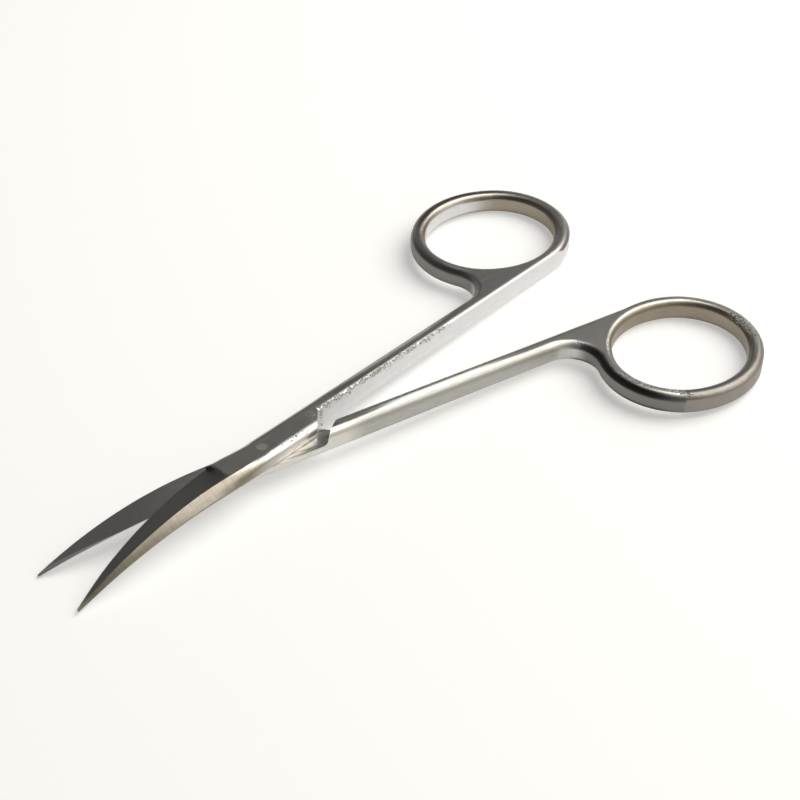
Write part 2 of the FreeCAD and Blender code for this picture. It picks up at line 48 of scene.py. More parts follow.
@dataclass(frozen=True)
class Pose:
    """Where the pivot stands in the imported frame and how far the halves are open.

    Args:
        pivot: the pivot's place at the mating faces, in metres.
        axis: the pivot's unit axis.
        opening: the angle between the halves, in radians.
    """

    pivot: Vector
    axis: Vector
    opening: float

    @classmethod
    def from_joint(cls, joint: dict) -> "Pose":
        """Read the pose from the pivot joint, whose lower limit is the closed position.

        Args:
            joint: the joint's row in the frame.

        Returns:
            The pose.
        """
        closing = math.radians(joint["range_deg"][0])
        return cls(Vector(joint["pos_m"]), Vector(joint["axis"]), -closing)

    def own_frame(self, side: Side) -> Matrix:
        """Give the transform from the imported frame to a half's own closed frame.

        Args:
            side: the half that is asked for.

        Returns:
            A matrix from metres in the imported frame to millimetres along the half: X towards
            the ring, Y away from it and Z out of the mating face.
        """
        tilt = math.atan2(self.axis.x, self.axis.z)
        level = Matrix.Rotation(-tilt, 4, "Y") @ Matrix.Translation(-self.pivot)
        if side is Side.LOWER:
            turn = Matrix.Rotation(self.opening / 2, 4, "Z")
        else:
            turn = Matrix.Rotation(math.pi, 4, "X") @ Matrix.Rotation(-self.opening / 2, 4, "Z")
        return Matrix.Scale(1 / MM, 4) @ turn @ level


@dataclass(frozen=True)
class Grain:
    """Size and make-up of one noise.

    Args:
        density: how fine it is along each axis, for each millimetre.
        detail: the number of its finer layers.
        roughness: the strength of the finer layers.
    """

    density: Triple
    detail: float
    roughness: float = 0.55


@dataclass(frozen=True)
class Pattern:
    """Marks made by the peaks of a noise.

    Args:
        grain: the noise.
        level: how high a peak has to be to show, and to show in full.
        most: how strong a full mark is, from 0 to 1.
    """

    grain: Grain
    level: Span
    most: float = 1.0


class Graph:
    """Short ways to place and join the shader nodes of one material."""

    # Sockets that share their names with others, so they go by their places.
    MIX_FACTOR = 0
    MIX_NUMBERS = (2, 3)
    MIX_COLOURS = (6, 7)
    MIX_COLOUR_RESULT = 2

    def __init__(self, name: str) -> None:
        """Make an empty node tree with its output and shader.

        Args:
            name: the material's name.
        """
        self.material = bpy.data.materials.new(name)
        self.material.use_nodes = True
        self.tree = self.material.node_tree
        self.tree.nodes.clear()
        output = self.tree.nodes.new("ShaderNodeOutputMaterial")
        self.shader = self.tree.nodes.new("ShaderNodeBsdfPrincipled")
        self.join(self.shader.outputs[0], output.inputs["Surface"])

    def join(self, source: Socket, target: Socket) -> None:
        """Link one socket to another."""
        self.tree.links.new(source, target)

    def feed(self, target: Socket, value: Value | Colour) -> None:
        """Link a socket to another, or set a plain value on it.

        Args:
            target: the socket to feed.
            value: another socket, a number or a colour.
        """
        if isinstance(value, Socket):
            self.join(value, target)
        elif isinstance(value, tuple):
            target.default_value = (*value, 1.0)
        else:
            target.default_value = value

    def calculate(self, operation: str, first: Value, second: Value = 0.0) -> Socket:
        """Put one operation on one or two numbers.

        Args:
            operation: the math node's name for it.
            first: the first number.
            second: the second number, where the operation takes one.

        Returns:
            The result.
        """
        node = self.tree.nodes.new("ShaderNodeMath")
        node.operation = operation
        self.feed(node.inputs[0], first)
        self.feed(node.inputs[1], second)
        return node.outputs[0]

    def add(self, first: Value, second: Value) -> Socket:
        """Add two numbers."""
        return self.calculate("ADD", first, second)

    def subtract(self, first: Value, second: Value) -> Socket:
        """Take the second number from the first."""
        return self.calculate("SUBTRACT", first, second)

    def multiply(self, first: Value, second: Value) -> Socket:
        """Multiply two numbers."""
        return self.calculate("MULTIPLY", first, second)

    def divide(self, first: Value, second: Value) -> Socket:
        """Divide the first number by the second."""
        return self.calculate("DIVIDE", first, second)

    def larger(self, first: Value, second: Value) -> Socket:
        """Return the larger of two numbers."""
        return self.calculate("MAXIMUM", first, second)

    def absolute(self, value: Value) -> Socket:
        """Return a number without its sign."""
        return self.calculate("ABSOLUTE", value)

    def length(self, x: Socket, y: Socket) -> Socket:
        """Return the length of a flat vector."""
        return self.calculate("SQRT", self.add(self.multiply(x, x), self.multiply(y, y)))

    def product(self, *shares: Value) -> Socket:
        """Multiply two or more shares.

        Args:
            shares: the shares, from 0 to 1.

        Returns:
            Their product.
        """
        result = shares[0]
        for share in shares[1:]:
            result = self.multiply(result, share)
        return result

    def step(self, value: Socket, span: Span, result: Span = (0.0, 1.0)) -> Socket:
        """Ease a number from one value to another across a span.

        Args:
            value: the number.
            span: where the ease starts and where it is complete. It may run downwards.
            result: what comes out at the start and at the end of the span.

        Returns:
            The eased number.
        """
        node = self.tree.nodes.new("ShaderNodeMapRange")
        node.interpolation_type = "SMOOTHSTEP"
        self.join(value, node.inputs["Value"])
        node.inputs["From Min"].default_value, node.inputs["From Max"].default_value = span
        node.inputs["To Min"].default_value, node.inputs["To Max"].default_value = result
        return node.outputs["Result"]

    def past(self, value: Socket, place: float, soft: float) -> Socket:
        """Return 1 where a number is past a place, easing in over soft on each side of it."""
        return self.step(value, (place - soft, place + soft))

    def before(self, value: Socket, place: float, soft: float) -> Socket:
        """Return 1 where a number is before a place, easing out over soft on each side of it."""
        return self.step(value, (place + soft, place - soft))

    def within(self, value: Socket, span: Span, soft: float) -> Socket:
        """Return 1 where a number lies in a span, easing over soft on each side of its ends."""
        return self.multiply(self.past(value, span[0], soft), self.before(value, span[1], soft))

    def own_place(self, transform: Matrix) -> Socket:
        """Give the surface point in a half's own millimetres.

        Args:
            transform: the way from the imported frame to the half's own.

        Returns:
            The point.
        """
        coordinates = self.tree.nodes.new("ShaderNodeTexCoord")
        mapping = self.tree.nodes.new("ShaderNodeMapping")
        self.join(coordinates.outputs["Object"], mapping.inputs["Vector"])
        location, rotation, scale = transform.decompose()
        mapping.inputs["Location"].default_value = location
        mapping.inputs["Rotation"].default_value = rotation.to_euler("XYZ")
        mapping.inputs["Scale"].default_value = scale
        return mapping.outputs[0]

    def own_facing(self, transform: Matrix) -> Socket:
        """Give the way the surface faces, along a half's own axes.

        Args:
            transform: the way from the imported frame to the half's own.

        Returns:
            A unit vector.
        """
        coordinates = self.tree.nodes.new("ShaderNodeTexCoord")
        mapping = self.tree.nodes.new("ShaderNodeMapping")
        mapping.vector_type = "VECTOR"
        self.join(coordinates.outputs["Normal"], mapping.inputs["Vector"])
        mapping.inputs["Rotation"].default_value = transform.to_3x3().normalized().to_euler("XYZ")
        return mapping.outputs[0]

    def split(self, vector: Socket) -> tuple[Socket, Socket, Socket]:
        """Return the three parts of a vector.

        Args:
            vector: the vector.

        Returns:
            Its X, Y and Z.
        """
        node = self.tree.nodes.new("ShaderNodeSeparateXYZ")
        self.join(vector, node.inputs[0])
        return tuple(node.outputs)

    def vector(self, x: Value, y: Value, z: Value) -> Socket:
        """Make a vector.

        Args:
            x: its first part.
            y: its second part.
            z: its third part.

        Returns:
            The vector.
        """
        node = self.tree.nodes.new("ShaderNodeCombineXYZ")
        for socket, value in zip(node.inputs, (x, y, z)):
            self.feed(socket, value)
        return node.outputs[0]

    def noise(self, place: Socket, grain: Grain) -> Socket:
        """Return smooth noise, most of it between 0.3 and 0.7.

        Args:
            place: where it is read.
            grain: its size and make-up.

        Returns:
            The noise.
        """
        stretch = self.tree.nodes.new("ShaderNodeVectorMath")
        stretch.operation = "MULTIPLY"
        self.join(place, stretch.inputs[0])
        stretch.inputs[1].default_value = grain.density
        node = self.tree.nodes.new("ShaderNodeTexNoise")
        self.join(stretch.outputs[0], node.inputs["Vector"])
        node.inputs["Scale"].default_value = 1.0
        node.inputs["Detail"].default_value = grain.detail
        node.inputs["Roughness"].default_value = grain.roughness
        return node.outputs[0]

    def marks(self, place: Socket, pattern: Pattern) -> Socket:
        """Return how much of a pattern's marks shows at a place."""
        return self.step(self.noise(place, pattern.grain), pattern.level, (0.0, pattern.most))

    def blend(self, share: Socket, first: Socket | Colour, second: Colour) -> Socket:
        """Lay one colour over another by a share.

        Args:
            share: how much of the second colour covers the first.
            first: the colour below.
            second: the colour that is laid over it.

        Returns:
            The blended colour.
        """
        node = self.tree.nodes.new("ShaderNodeMix")
        node.data_type = "RGBA"
        self.join(share, node.inputs[self.MIX_FACTOR])
        for index, colour in zip(self.MIX_COLOURS, (first, second)):
            self.feed(node.inputs[index], colour)
        return node.outputs[self.MIX_COLOUR_RESULT]

    def mix(self, share: Socket, first: Value, second: Value) -> Socket:
        """Mix two numbers by a share.

        Args:
            share: how much of the second number is taken.
            first: the first number.
            second: the second number.

        Returns:
            The mixed number.
        """
        node = self.tree.nodes.new("ShaderNodeMix")
        self.join(share, node.inputs[self.MIX_FACTOR])
        for index, number in zip(self.MIX_NUMBERS, (first, second)):
            self.feed(node.inputs[index], number)
        return node.outputs[0]

    def bump(self, height: Socket, distance: float, below: Socket | None = None) -> Socket:
        """Turn a height into a shading normal.

        Args:
            height: the height, as a share of the distance.
            distance: how high 1 is, in metres.
            below: the normal that it is laid on.

        Returns:
            The normal.
        """
        node = self.tree.nodes.new("ShaderNodeBump")
        node.inputs["Strength"].default_value = 1.0
        node.inputs["Distance"].default_value = distance
        self.join(height, node.inputs["Height"])
        if below is not None:
            self.join(below, node.inputs["Normal"])
        return node.outputs[0]


@dataclass(frozen=True)
class SteelFinish:
    """Look of one ground and satin-brushed steel surface.

    Args:
        cool: colour of the plainest steel.
        warm: colour of its warmer clouds.
        clouds: where the warmer clouds lie.
        lines: the brushing lines.
        roughness: mean roughness.
        streak: how much the brushing lines change the roughness.
        relief: height of the brushing lines, in metres.
        line_span: the span of the noise over which the roughness changes.
    """

    cool: Colour
    warm: Colour
    clouds: Pattern
    lines: Grain
    roughness: float
    streak: float
    relief: float
    line_span: Span

    def clouded(self, graph: Graph, place: Socket) -> Socket:
        """Return the steel's plain colour with its clouds."""
        return graph.blend(graph.marks(place, self.clouds), self.cool, self.warm)

    def brushed_roughness(self, graph: Graph, lines: Socket) -> Socket:
        """Return the roughness that the brushing lines leave."""
        span = (self.roughness - self.streak, self.roughness + self.streak)
        return graph.step(lines, self.line_span, span)


@dataclass(frozen=True)
class WornFinish(SteelFinish):
    """Satin steel with the marks that grinding, handling and age leave on it, and with painted shade and
    painted light on some of its faces.

    Args:
        ring_lines: brushing round a ring, by its direction twice and its distance from the centre.
        cross_lines: grinding lines across the web between a shank and its ring.
        rubs: brown marks on the lap's rubbed floor.
        streaks: grinding streaks across the spine side.
        ragged: how uneven the worn border is.
        chips: bright specks.
        pits: dark pits.
        line_level: how high a brushing line starts to look dark, and where it is darkest.
        line_shade: how dark the darkest lines are, from 0 to 1.
        wear_lift: how much wear lifts the noise of the chips and pits.
        wear_onset: how worn a place is where they begin, and where all of them show.
        chip_height: a chip's height, as a share of a pit's depth.
        pit_depth: depth of a pit, in metres.
        dullest: roughness of a chip.
        honed_dulling: how near to it the honed line comes, from 0 to 1.
        side_dulling: how much rougher the rounded outer sides are.
        ring_side_shade: colour of a finger ring's outer side, darkened as painted shade for the shadowed
            table it mirrors.
        ring_band_shade: colour of the band round the rear of a ring, painted shade that dims the highlight
            on its rounding.
        ring_dark_shade: colour of the darkest band beside the web, painted shade on the ring's top
            rounding.
        ring_hole_shade: colour of a finger ring's hole wall, darkened as painted shade for the shadowed
            table it mirrors.
        outer_side_shade: colour of a shank's outer side, darkened as painted shade to dim the highlight on
            its rounding.
        inner_face_light: colour of a shank's inner face, lightened as painted light for the bright table it
            mirrors.
        spine_side_shade: colour of the blade's spine side, warmed and darkened as painted shade to tone
            down its reflection of the key light.
        streak_tint: colour of the grinding streaks across the spine side.
        facet_shade: colour of the ground back of the blade, darkened as painted shade because it faces away
            from the light.
        mating: colour of the mating faces.
        rubbed: colour of the brown marks on the lap's rubbed floor.
        honed: colour of the honed line along the cutting edge.
        pit: colour of the pits and of the dark lines.
        chip_glint: colour of the bright specks, worn chips painted near white as glints.
    """

    ring_lines: Grain
    cross_lines: Grain
    rubs: Pattern
    streaks: Pattern
    ragged: Grain
    chips: Pattern
    pits: Pattern
    line_level: Span
    line_shade: float
    wear_lift: float
    wear_onset: Span
    chip_height: float
    pit_depth: float
    dullest: float
    honed_dulling: float
    side_dulling: float
    ring_side_shade: Colour
    ring_band_shade: Colour
    ring_dark_shade: Colour
    ring_hole_shade: Colour
    outer_side_shade: Colour
    inner_face_light: Colour
    spine_side_shade: Colour
    streak_tint: Colour
    facet_shade: Colour
    mating: Colour
    rubbed: Colour
    honed: Colour
    pit: Colour
    chip_glint: Colour


@dataclass(frozen=True)
class Facings:
    """How far a surface faces some way where it starts to take a finish or painted shade, and where it has
    all of it.

    The ring's are measured out from its centre, and the others along one of the half's own axes.

    Args:
        ring_side_shade: a ring's outer side, where its painted shade lies.
        ring_band_shade: the band of painted shade on it.
        ring_hole_shade: the wall of its hole, which faces inward and takes the painted shade.
        ring_dark_shade: the band of darkest painted shade.
        dark_shade_slant: how much of the band of darkest painted shade faces up or down, from least to
            most.
        dark_shade_slant_soft: how softly that ends.
        outer_side_shade: a shank's outer side, along -Y, where its painted shade lies.
        inner_face_light: a shank's inner face, along Y, where its painted light lies.
        spine_side_shade: the blade's spine side, along Y, where its painted shade lies.
        facet_shade: the blade's ground back, along -Z, where its painted shade lies.
        facet_ridge: where that back ends at the ridge, along Y.
        mating: the mating face, along Z.
        honed: the honed line, along Z.
        web: the web's flats, along Z or -Z.
        worn_flat: worn tops, along Z or -Z.
        worn_inner: worn inner faces, along Y.
        dull_side: the dulled rounding of the outer sides, along -Y.
    """

    ring_side_shade: Span = (0.2, 0.75)
    ring_band_shade: Span = (-0.5, 0.1)
    ring_hole_shade: Span = (-0.2, -0.7)
    ring_dark_shade: Span = (0.0, 0.3)
    dark_shade_slant: Span = (0.25, 0.93)
    dark_shade_slant_soft: float = 0.12
    outer_side_shade: Span = (-0.05, -0.4)
    inner_face_light: Span = (0.7, 0.95)
    spine_side_shade: Span = (0.2, 0.6)
    facet_shade: Span = (-0.6, -0.85)
    facet_ridge: Span = (0.25, 0.05)
    mating: Span = (0.75, 0.85)
    honed: Span = (0.6, 0.75)
    web: Span = (0.9, 0.98)
    worn_flat: Span = (0.25, 0.6)
    worn_inner: Span = (0.8, 0.9)
    dull_side: Span = (-0.15, -0.6)


@dataclass(frozen=True)
class Surface:
    """Where a surface point lies on its half and how it faces, as sockets.

    Args:
        place: the point in the half's own millimetres.
        x: its first part.
        y: its second part.
        z: its third part.
        face_x: how far the surface faces along X.
        face_y: how far it faces along Y.
        face_z: how far it faces along Z.
        ring_x: how far the point lies past the ring's centre along X.
        ring_y: how far it lies past the ring's centre along Y.
        ring_radius: how far it is from the ring's centre, in plan.
    """

    place: Socket
    x: Socket
    y: Socket
    z: Socket
    face_x: Socket
    face_y: Socket
    face_z: Socket
    ring_x: Socket
    ring_y: Socket
    ring_radius: Socket

    @classmethod
    def read(cls, graph: Graph, transform: Matrix, ring_centre: Plan) -> "Surface":
        """Make the nodes that tell it.

        Args:
            graph: the material's nodes.
            transform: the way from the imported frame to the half's own.
            ring_centre: the ring's centre, in own millimetres.

        Returns:
            The surface point's sockets.
        """
        place = graph.own_place(transform)
        x, y, z = graph.split(place)
        facing = graph.split(graph.own_facing(transform))
        ring_x = graph.subtract(x, ring_centre[0])
        ring_y = graph.subtract(y, ring_centre[1])
        return cls(place, x, y, z, *facing, ring_x, ring_y, graph.length(ring_x, ring_y))


@dataclass(frozen=True)
class WearPatch:
    """A place with pits and bright specks.

    Args:
        centre: its middle in a half's own millimetres, in plan.
        reach: its half length and half width, in millimetres.
        turn: the way its length runs, in degrees.
        amount: how worn its middle is, from 0 to 1.
        fade: where it ends and where it is full, as shares of its reach.
    """

    centre: Plan
    reach: tuple[float, float]
    turn: float
    amount: float
    fade: Span = (1.0, 0.3)

    def share(self, graph: Graph, at: Surface) -> Socket:
        """Return how worn the patch makes a surface point.

        Args:
            graph: the material's nodes.
            at: the surface point.

        Returns:
            A share from 0 to 1.
        """
        half_length, half_width = self.reach
        cosine = math.cos(math.radians(self.turn))
        sine = math.sin(math.radians(self.turn))
        away_x = graph.subtract(at.x, self.centre[0])
        away_y = graph.subtract(at.y, self.centre[1])
        along = graph.add(graph.multiply(away_x, cosine / half_length),
                          graph.multiply(away_y, sine / half_length))
        aside = graph.subtract(graph.multiply(away_y, cosine / half_width),
                               graph.multiply(away_x, sine / half_width))
        return graph.step(graph.length(along, aside), self.fade, (0.0, self.amount))


def put_on(name: str, material: bpy.types.Material) -> None:
    """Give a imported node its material.

    Args:
        name: the node's name.
        material: its material.
    """
    node = frame["nodes"][name]
    node.data.materials.clear()
    node.data.materials.append(material)
    LOG.info("%s dressed", name)


@dataclass
class ScissorHalf:
    """One forged half: its blade, lap, shank and finger ring.

    Places are in the half's own millimetres, and a span runs from where a finish is absent to where
    it is full. Angles go round the ring from the side that faces the pivot, in degrees.

    Args:
        side: upper or lower half.
        pose: where the scissors lie.
        finish: the satin steel of the whole forging.
        patches: its worn places.
        facings: which way a surface faces to take each finish.
        half_height: half the height of the forging at the shank.
        ring_centre: the centre of the finger ring.
        ring_tint: where along X the ring's painted shade begins.
        ring_brushing: where along X the brushing turns to run round the ring.
        dark_shade: how dark the painted dark band is, from 0 to 1.
        dark_shade_span: the angles between which it lies.
        dark_shade_soft: how softly it ends, as an angle.
        band_start: the angle at which the band of painted shade begins.
        band_soft: how softly it begins, as an angle.
        band_end: the angles between which it fades.
        shank_start: where the lap ends and the shank begins.
        shank_tint_rise: the length over which the outer side's painted shade comes in.
        inner_soft: how softly the inner face begins.
        mating_soft: how softly the mating face ends.
        spine_tint: where along X the spine side's painted shade comes in.
        streak_span: where along X the streaks across it come in.
        facet_start: where the painted shade of the ground back begins.
        facet_soft: how softly it begins.
        rub_span: where along X the rub marks lie.
        rub_soft: how softly they end.
        border_side: the worn border's width on the top.
        border_depth: its depth on the inner face.
        border_swing: how far its ragged line swings.
        border_end: how far along the shank it runs.
        border_soft: how softly it ends.
        edge_curve: the cutting edge's Y as a curve of X, by its second, first and constant terms.
        honed_start: where along X the honed line begins.
        honed_soft: the length over which it begins.
        honed_widening: how much it widens for each millimetre towards the tip.
        honed_edge: the width over which its inner side is blended.
        honed_slope: its fall for each millimetre of width, in metres.
        web_span: where along X the web lies.
        web_soft: how softly it ends.
        dull_side_span: where along X the rounding of the outer side is dulled.
        crown_rise: where along Y the crown of the shank's top rises.
        crown_span: where along X it lies.
        crown_soft: how softly it ends.
        crown_height: its height, in metres.
    """

    side: Side
    pose: Pose
    finish: WornFinish
    patches: tuple[WearPatch, ...]
    facings: Facings = Facings()
    half_height: float = 1.72
    ring_centre: Plan = (66.48, -11.94)
    ring_tint: Span = (47.5, 50.5)
    ring_brushing: Span = (54.0, 58.0)
    dark_shade: float = 1.0
    dark_shade_span: Span = (-32.0, 40.0)
    dark_shade_soft: float = 9.17
    band_start: float = 53.0
    band_soft: float = 1.0
    band_end: Span = (176.0, 120.0)
    shank_start: float = 12.3
    shank_tint_rise: float = 4.0
    inner_soft: float = 0.4
    mating_soft: float = 0.5
    spine_tint: Span = (4.0, -6.0)
    streak_span: Span = (-2.0, -6.0)
    facet_start: float = -7.4
    facet_soft: float = 0.4
    rub_span: Span = (0.5, 12.0)
    rub_soft: float = 1.0
    border_side: float = 0.64
    border_depth: float = 1.0
    border_swing: float = 2.4
    border_end: float = 41.0
    border_soft: float = 2.0
    edge_curve: Triple = (0.003717, 0.063333, -2.652)
    honed_start: float = -23.0
    honed_soft: float = 0.5
    honed_widening: float = 0.09
    honed_edge: float = 0.08
    honed_slope: float = 0.0003
    web_span: Span = (44.0, 54.0)
    web_soft: float = 2.0
    dull_side_span: Span = (12.0, 14.0)
    crown_rise: Span = (-2.0, -0.45)
    crown_span: Span = (19.0, 41.0)
    crown_soft: float = 6.0
    crown_height: float = 0.00025

    @property
    def node_name(self) -> str:
        """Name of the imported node."""
        return f"{self.side.value}_half"

    @property
    def top(self) -> float:
        """Give the sign of the own Z that is up as the scissors lie."""
        return 1.0 if self.side is Side.LOWER else -1.0

    def brushing(self, graph: Graph, at: Surface) -> Socket:
        """Return fine lines that run along the shank and blade and round the ring.

        Args:
            graph: the material's nodes.
            at: the surface point.

        Returns:
            The lines' height, most of it between 0.3 and 0.7.
        """
        along = graph.noise(at.place, self.finish.lines)
        way_x = graph.divide(at.ring_x, at.ring_radius)
        way_y = graph.divide(at.ring_y, at.ring_radius)
        round_ring = graph.vector(way_x, way_y, graph.add(at.ring_radius, at.z))
        around = graph.noise(round_ring, self.finish.ring_lines)
        return graph.mix(graph.step(at.x, self.ring_brushing), along, around)

    def honed(self, graph: Graph, at: Surface) -> Socket:
        """Return how far a point lies inside the line honed along the cutting edge.

        Args:
            graph: the material's nodes.
            at: the surface point.

        Returns:
            A width in millimetres, 0 outside the line.
        """
        bend, lean, constant = self.edge_curve
        curve = graph.multiply(graph.multiply(at.x, at.x), bend)
        edge = graph.add(curve, graph.add(graph.multiply(at.x, lean), constant))
        ahead = graph.subtract(at.x, self.honed_start)
        line = graph.add(edge, graph.multiply(ahead, -self.honed_widening))
        inside = graph.larger(graph.subtract(line, at.y), 0.0)
        start = graph.step(at.x, (self.honed_start + self.honed_soft, self.honed_start))
        return graph.product(inside, graph.step(at.face_z, self.facings.honed), start)

    def wear(self, graph: Graph, at: Surface) -> Socket:
        """Return how worn a point is, by the inner border and the wear patches.

        Args:
            graph: the material's nodes.
            at: the surface point.

        Returns:
            A share from 0 to 1.
        """
        noise_middle = 0.5
        uneven = graph.subtract(graph.noise(at.place, self.finish.ragged), noise_middle)
        height = graph.add(graph.multiply(at.z, self.top), graph.multiply(uneven, self.border_swing))
        worn = graph.product(
            graph.step(at.y, (-self.border_side, 0.0)),
            graph.step(height, (self.half_height - self.border_depth, self.half_height)),
            graph.within(at.x, (self.shank_start, self.border_end), self.border_soft),
        )
        for patch in self.patches:
            worn = graph.larger(worn, patch.share(graph, at))
        on_flat = graph.step(graph.absolute(at.face_z), self.facings.worn_flat)
        return graph.multiply(worn, graph.larger(on_flat, graph.step(at.face_y, self.facings.worn_inner)))

    def specks(self, graph: Graph, at: Surface, worn: Socket, pattern: Pattern) -> Socket:
        """Return small marks that grow denser where the surface is worn.

        Args:
            graph: the material's nodes.
            at: the surface point.
            worn: how worn it is.
            pattern: the marks.

        Returns:
            A share from 0 to 1.
        """
        lift = graph.multiply(worn, self.finish.wear_lift)
        height = graph.add(graph.noise(at.place, pattern.grain), lift)
        marks = graph.step(height, pattern.level, (0.0, pattern.most))
        return graph.multiply(marks, graph.step(worn, self.finish.wear_onset))

    def ring_tints(self, graph: Graph, at: Surface) -> tuple[Tint, ...]:
        """Give the painted shade of the finger ring.

        Args:
            graph: the material's nodes.
            at: the surface point.

        Returns:
            Each tint's share and colour, in the order in which they are laid on.
        """
        finish, facings = self.finish, self.facings
        reach = graph.add(graph.multiply(at.ring_x, at.face_x), graph.multiply(at.ring_y, at.face_y))
        outward = graph.divide(reach, at.ring_radius)
        angle = graph.calculate("ARCTAN2", graph.multiply(at.ring_y, -1.0), graph.multiply(at.ring_x, -1.0))
        in_ring = graph.step(at.x, self.ring_tint)
        band_start = graph.past(angle, math.radians(self.band_start), math.radians(self.band_soft))
        band_end = graph.step(angle, tuple(math.radians(end) for end in self.band_end))
        dark_shade_span = tuple(math.radians(end) for end in self.dark_shade_span)
        in_dark_shade = graph.within(angle, dark_shade_span, math.radians(self.dark_shade_soft))
        slant = graph.within(graph.absolute(at.face_z), facings.dark_shade_slant, facings.dark_shade_slant_soft)
        # Painted shade: the ring's outer side is darkened for the shadowed table it mirrors.
        side = graph.step(outward, facings.ring_side_shade)
        # Painted shade: a grey band round the ring's rear that dims the highlight on its top rounding.
        band = graph.product(graph.step(outward, facings.ring_band_shade), band_start, band_end)
        # Painted shade: the hole wall is darkened for the shadowed table it mirrors.
        hole = graph.step(outward, facings.ring_hole_shade)
        # Painted shade: a near-black band on the top rounding beside the web, where the ring mirrors the
        # dim room.
        dark_shade = graph.product(in_dark_shade, slant, graph.step(outward, facings.ring_dark_shade), self.dark_shade)
        return (
            (graph.multiply(in_ring, side), finish.ring_side_shade),
            (graph.multiply(in_ring, band), finish.ring_band_shade),
            (graph.multiply(in_ring, hole), finish.ring_hole_shade),
            (graph.multiply(in_ring, dark_shade), finish.ring_dark_shade),
        )

    def shank_tints(self, graph: Graph, at: Surface) -> tuple[Tint, ...]:
        """Give the shank's painted shade on its outer side and painted light on its inner face.

        Args:
            graph: the material's nodes.
            at: the surface point.

        Returns:
            Each tint's share and colour, in the order in which they are laid on.
        """
        finish, facings = self.finish, self.facings
        # Painted shade: the outer side is darkened to dim the highlight on its rounding.
        outer = graph.product(
            graph.step(at.x, self.ring_tint, (1.0, 0.0)),
            graph.step(at.x, (self.shank_start, self.shank_start + self.shank_tint_rise)),
            graph.step(at.face_y, facings.outer_side_shade),
        )
        # Painted light: the inner face is lightened for the bright table it mirrors.
        inner = graph.multiply(
            graph.past(at.x, self.shank_start, self.inner_soft),
            graph.step(at.face_y, facings.inner_face_light),
        )
        return (outer, finish.outer_side_shade), (inner, finish.inner_face_light)

    def blade_tints(self, graph: Graph, at: Surface) -> tuple[Tint, ...]:
        """Give the blade's painted shade and the colours and rub marks of the mating faces and the lap.

        Args:
            graph: the material's nodes.
            at: the surface point.

        Returns:
            Each tint's share and colour, in the order in which they are laid on.
        """
        finish, facings = self.finish, self.facings
        # Painted shade: the spine side is warmed and darkened to tone down its reflection of the key light.
        spine = graph.multiply(
            graph.step(at.x, self.spine_tint),
            graph.step(at.face_y, facings.spine_side_shade),
        )
        # Painted shade: the ground back is darkened because it faces away from the light.
        facet_shade = graph.product(
            graph.before(at.x, self.facet_start, self.facet_soft),
            graph.step(at.face_z, facings.facet_shade),
            graph.step(at.face_y, facings.facet_ridge),
        )
        mating = graph.multiply(
            graph.before(at.x, self.shank_start, self.mating_soft),
            graph.step(at.face_z, facings.mating),
        )
        rubbed = graph.product(
            mating,
            graph.within(at.x, self.rub_span, self.rub_soft),
            graph.marks(at.place, finish.rubs),
        )
        return (
            (spine, finish.spine_side_shade),
            (facet_shade, finish.facet_shade),
            (mating, finish.mating),
            (rubbed, finish.rubbed),
        )

    def streaks(self, graph: Graph, at: Surface) -> Socket:
        """Return the grinding streaks across the spine side.

        Args:
            graph: the material's nodes.
            at: the surface point.

        Returns:
            A share from 0 to 1.
        """
        return graph.product(
            graph.marks(at.place, self.finish.streaks),
            graph.step(at.x, self.streak_span),
            graph.step(at.face_y, self.facings.spine_side_shade),
        )

    def roughness(self, graph: Graph, at: Surface, lines: Socket, chips: Socket, bright: Socket) -> Socket:
        """Return how rough the steel is.

        Args:
            graph: the material's nodes.
            at: the surface point.
            lines: the brushing lines.
            chips: where the bright specks are.
            bright: where the honed line is.

        Returns:
            The shader's roughness.
        """
        finish = self.finish
        outer = graph.multiply(
            graph.step(at.face_y, self.facings.dull_side),
            graph.step(at.x, self.dull_side_span),
        )
        dulling = graph.multiply(outer, finish.side_dulling)
        roughness = graph.add(finish.brushed_roughness(graph, lines), dulling)
        dull = graph.larger(chips, graph.multiply(bright, finish.honed_dulling))
        return graph.mix(dull, roughness, finish.dullest)

    def relief(self, graph: Graph, at: Surface, lines: Socket, honed: Socket, dents: Socket) -> Socket:
        """Return the shading normal of everything too fine for the mesh.

        Args:
            graph: the material's nodes.
            at: the surface point.
            lines: the brushing lines.
            honed: how far inside the honed line the point lies.
            dents: the height of the chips and pits.

        Returns:
            The normal.
        """
        finish = self.finish
        web = graph.multiply(
            graph.within(at.x, self.web_span, self.web_soft),
            graph.step(graph.absolute(at.face_z), self.facings.web),
        )
        crown = graph.multiply(
            graph.step(at.y, self.crown_rise),
            graph.within(at.x, self.crown_span, self.crown_soft),
        )
        cross = graph.noise(at.place, finish.cross_lines)
        normal = graph.bump(graph.mix(web, lines, cross), finish.relief)
        normal = graph.bump(graph.multiply(honed, -1.0), self.honed_slope, normal)
        normal = graph.bump(crown, self.crown_height, normal)
        return graph.bump(dents, finish.pit_depth, normal)

    def material(self) -> bpy.types.Material:
        """Build the half's worn satin steel.

        Returns:
            The material.
        """
        graph = Graph(f"forged_steel_{self.side.value}")
        finish = self.finish
        at = Surface.read(graph, self.pose.own_frame(self.side), self.ring_centre)
        lines = self.brushing(graph, at)
        worn = self.wear(graph, at)
        chips = self.specks(graph, at, worn, finish.chips)
        pits = self.specks(graph, at, worn, finish.pits)
        honed = self.honed(graph, at)
        bright = graph.step(honed, (0.0, self.honed_edge))
